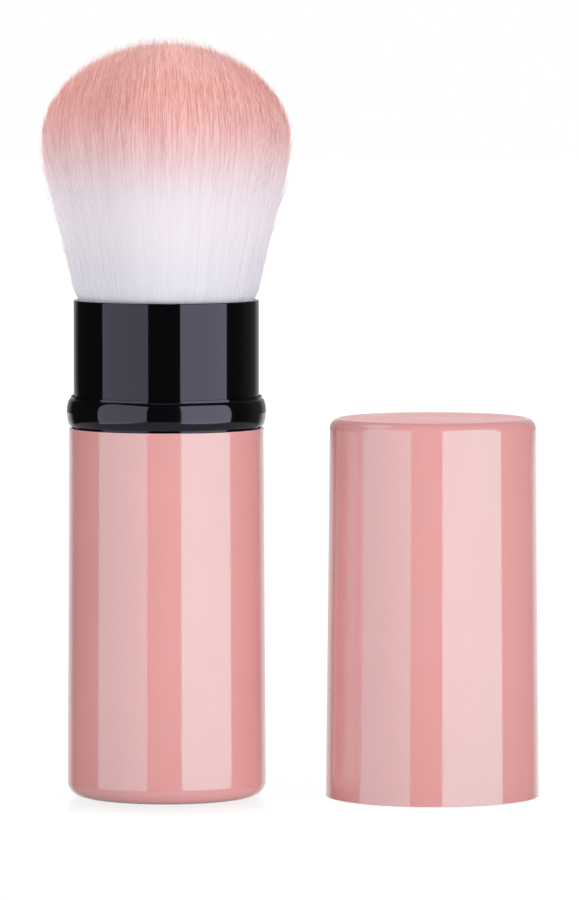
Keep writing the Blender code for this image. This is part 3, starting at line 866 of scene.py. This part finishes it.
bpy.ops.mesh.primitive_plane_add(size=FLOOR_WIDTH, location=(0, 0, -FLOOR_DROP))
floor = bpy.context.object
floor.name = "floor"
floor.visible_glossy = False
floor.visible_shadow = False
white_floor = bpy.data.materials.new("white_floor")
white_floor.use_nodes = True
white_floor.node_tree.nodes.clear()


def mix_shaders(share, first, second):
    """Mixes two of the floor's shaders."""
    inputs = {0: share, 1: first.outputs[0], 2: second.outputs[0]}
    return add_node(white_floor, "ShaderNodeMixShader", inputs)


def floor_distance(x):
    """How far a point of the floor lies from the point x on the X axis."""
    inputs = {0: object_place(white_floor), 1: (x, 0, 0)}
    node = add_node(white_floor, "ShaderNodeVectorMath", inputs, operation="DISTANCE")
    return node.outputs["Value"]


paper = add_node(white_floor, "ShaderNodeBsdfDiffuse", {"Color": PAPER_WHITE})
glow = add_node(white_floor, "ShaderNodeEmission", {"Color": WHITE, "Strength": FLOOR_GLOW})
polish = add_node(white_floor, "ShaderNodeBsdfAnisotropic", {"Color": WHITE, "Roughness": 0.06})
near = spread(white_floor, floor_distance(0.0), SHADOW_FADE, onto=(SHADOW_SHARE, 0.0))
nearest_foot = maths(white_floor, "MINIMUM", floor_distance(0.0), floor_distance(cap_middle))
image_range = (base_foot_radius, base_foot_radius + IMAGE_REACH)
image = spread(white_floor, nearest_foot, image_range, onto=(IMAGE_SHARE, 0.0))
shown = mix_shaders(image, mix_shaders(near, glow, paper), polish)
camera_ray = add_node(white_floor, "ShaderNodeLightPath").outputs["Is Camera Ray"]
surface = mix_shaders(camera_ray, paper, shown).outputs[0]
add_node(white_floor, "ShaderNodeOutputMaterial", {"Surface": surface})
floor.data.materials.append(white_floor)
floor.select_set(False)


# Studio: the tall soft box on each side is there only for its image, an upright strip on the gloss.
# Five fill lamps, which have no image, and the world give the soft light. To the gloss, the room is
# dark, with white far behind, a faint grey wall at the right and a pale table low down.

FILL_AIM = Vector((cap_middle / 2, 0.0, 0.06))
SOFT_LIGHT = 0.445
CAP_TOP_IMAGE = 0.058
IMAGE_PINK = (0.78, 0.49, 0.49, 1.0)


def hang_lamp(name, place, facing, width, height, power):
    """A flat lamp that the camera doesn't see."""
    lamp = bpy.data.lights.new(name, "AREA")
    lamp.shape = "RECTANGLE"
    lamp.size = width
    lamp.size_y = height
    lamp.energy = power
    holder = bpy.data.objects.new(name, lamp)
    bpy.context.scene.collection.objects.link(holder)
    holder.location = place
    holder.rotation_euler = facing.to_track_quat("-Z", "Y").to_euler()
    holder.visible_camera = False
    return holder


def soft_box(name, inner, outer, foot, top, power):
    """A lamp that stands between two points on the floor plan, faces the brush, and lights nothing
    but the gloss."""
    inner, outer = Vector((*inner, 0.0)), Vector((*outer, 0.0))
    place = (inner + outer) / 2 + Vector((0, 0, (foot + top) / 2))
    along = (outer - inner).normalized()
    facing = Vector((-along.y, along.x, 0.0))
    if facing.dot(place) > 0:
        facing = -facing
    width = (outer - inner).length
    hang_lamp(name, place, facing, width, top - foot, power).visible_diffuse = False


def fill_light(name, place, width, height, power):
    """A lamp that only adds soft light: it has no image on the gloss."""
    facing = FILL_AIM - Vector(place)
    hang_lamp(name, place, facing, width, height, power).visible_glossy = False


soft_box("left_soft_box", (-0.235, -0.600), (-0.448, -0.045), foot=-0.10, top=0.48, power=1.14)
soft_box("right_soft_box", (0.083, -0.260), (0.345, -0.061), foot=-0.035, top=0.27, power=0.58)
fill_light("top_light", (0.0, -0.15, 0.75), 0.6, 0.6, power=1.4)
fill_light("front_fill", (cap_middle / 2, -0.12, 0.03), 0.05, 0.06, power=0.025)
fill_light("left_fill", (-0.35, -0.35, 0.45), 0.3, 0.3, power=0.8)
fill_light("right_fill", (0.655, -0.459, 0.2), 0.35, 0.35, power=2.5)
fill_light("back_fill", (0.05, 0.60, 0.42), 0.4, 0.4, power=2.5)


def mix_values(share, first, second):
    """Mixes two of the world's brightnesses."""
    inputs = {"Factor": share, "A": first, "B": second}
    return add_node(world, "ShaderNodeMix", inputs).outputs[0]


world = bpy.data.worlds.new("studio")
bpy.context.scene.world = world
world.use_nodes = True
world.node_tree.nodes.clear()
ray = add_node(world, "ShaderNodeLightPath").outputs
aim = split(world, add_node(world, "ShaderNodeTexCoord").outputs["Generated"])
seen = maths(world, "MAXIMUM", ray["Is Camera Ray"], ray["Is Transmission Ray"])

# What the gloss mirrors, by its direction
behind = spread(world, aim["Y"], (0.76, 0.98), onto=(0.02, 0.42))
far_behind = spread(world, aim["Y"], (0.975, 0.995), onto=(0.0, 0.58))
at_right = spread(world, aim["X"], (0.0, 0.35), onto=(0.0, 1.0))
right_wall = spread(world, aim["Y"], (0.1, 0.8), onto=(0.0, 0.08))
right_wall = maths(world, "MULTIPLY", right_wall, at_right)
low_down = spread(world, aim["Z"], (-0.0615, -0.0575), onto=(1.0, 0.0))
table = spread(world, aim["Y"], (0.70, 0.90), onto=(0.0, 0.60))
table = maths(world, "MULTIPLY", table, low_down)
room = maths(world, "ADD", behind, far_behind)
room = maths(world, "ADD", room, right_wall)
room = maths(world, "ADD", room, table)
below = spread(world, aim["Z"], (-0.29, -0.235), onto=(0.34, 0.0))
mirrored = maths(world, "MAXIMUM", room, below)
unseen = mix_values(ray["Is Glossy Ray"], SOFT_LIGHT, mirrored)
strength = mix_values(seen, unseen, 1.0)

# The cap's flat top mirrors a pink band far behind, and everything else is white or grey
off_band = maths(world, "ABSOLUTE", maths(world, "SUBTRACT", aim["Z"], CAP_TOP_IMAGE))
off_band = spread(world, off_band, (0.018, 0.036), onto=(0.0, 1.0))
nearer = spread(world, aim["Y"], (0.95, 0.985), onto=(1.0, 0.0))
whiter = maths(world, "MAXIMUM", maths(world, "MAXIMUM", seen, off_band), nearer)
tint = blend_colours(world, whiter, IMAGE_PINK, WHITE)
light = add_node(world, "ShaderNodeBackground", {"Color": tint, "Strength": strength})
add_node(world, "ShaderNodeOutputWorld", {"Surface": light.outputs[0]})

bpy.context.scene.view_settings.view_transform = "Standard"


# Camera: a long lens a little over a metre away and a little above the brush, as the photograph
# was taken.

LENS = 281.7
SENSOR_WIDTH = 36.0
CAMERA_PLACE = (0.01885, -1.077, 0.124)
CAMERA_AIM = Vector((0.01885, 0.0, 0.05315))
NEAREST_SEEN = 0.05
FARTHEST_SEEN = 30.0

camera_data = bpy.data.cameras.new("camera")
camera_data.lens = LENS
camera_data.sensor_width = SENSOR_WIDTH
camera_data.clip_start = NEAREST_SEEN
camera_data.clip_end = FARTHEST_SEEN
camera = bpy.data.objects.new("camera", camera_data)
bpy.context.scene.collection.objects.link(camera)
camera.location = CAMERA_PLACE
camera_turn = (CAMERA_AIM - camera.location).to_track_quat("-Z", "Y")
camera.rotation_euler = camera_turn.to_euler()
bpy.context.scene.camera = camera
